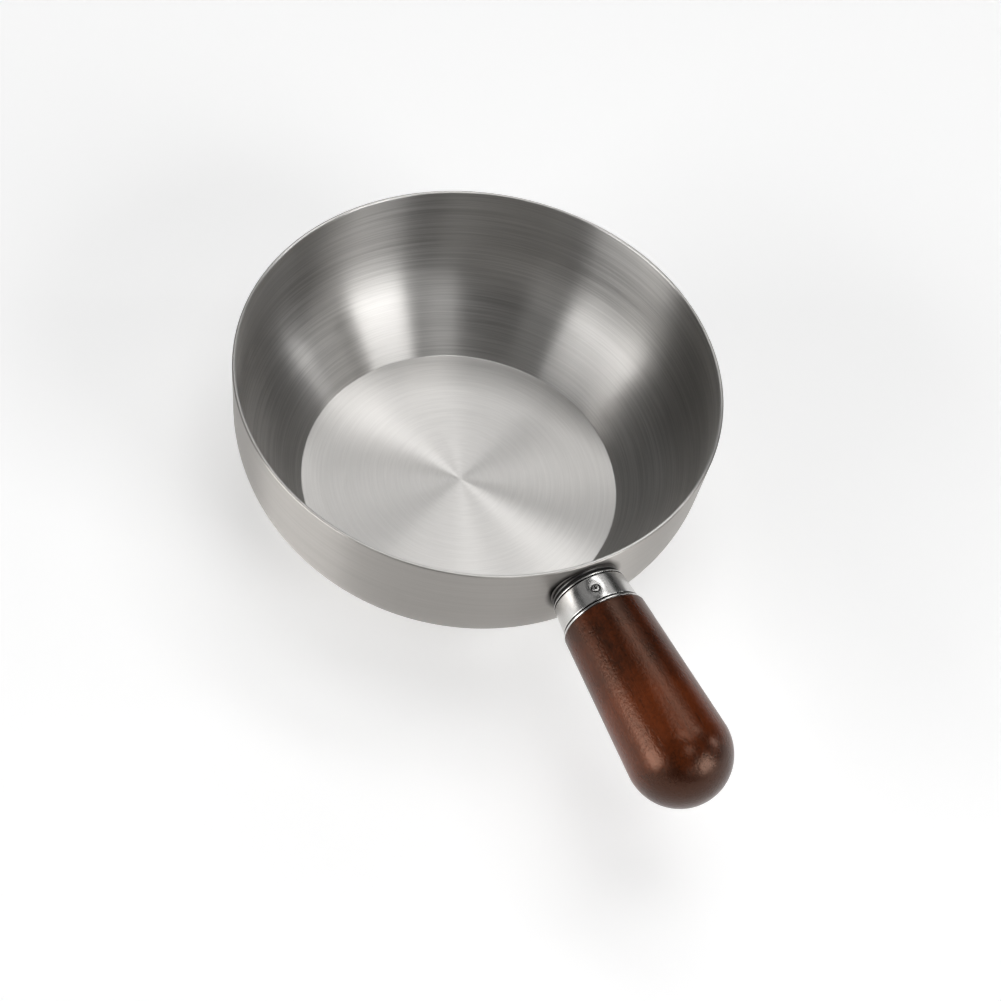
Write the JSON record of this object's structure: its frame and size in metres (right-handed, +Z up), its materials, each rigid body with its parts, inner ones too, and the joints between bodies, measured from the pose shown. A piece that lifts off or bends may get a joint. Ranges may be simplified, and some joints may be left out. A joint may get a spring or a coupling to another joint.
{
  "type": "noodle pot",
  "caption": "One-handled pot with a brushed steel bowl, flat floor and a short turned wooden handle held in a polished ferrule.",
  "frame": {"origin": "centre of the pot's flat underside", "axes": "+X along the handle away from the bowl, +Z up out of the bowl"},
  "size_m": [0.2674, 0.18, 0.0737],
  "materials": {
    "bowl_steel": "satin, brushed round the bowl and turned on the floor",
    "seat_steel": "turned",
    "weld_steel": "as welded and wiped",
    "washer_black": "matt moulded",
    "ferrule_steel": "mirror polished",
    "screw_steel": "polished",
    "grip_wood": "dark reddish brown, satin varnish",
    "insert_brass": "turned"
  },
  "bodies": {
    "root": {"bowl": "bowl_steel", "handle_seat": "seat_steel", "seat_weld": "weld_steel", "heat_washer": "washer_black", "ferrule": "ferrule_steel", "ferrule_screw": "screw_steel", "grip": "grip_wood", "grip_insert": "insert_brass"}
  },
  "joints": []
}
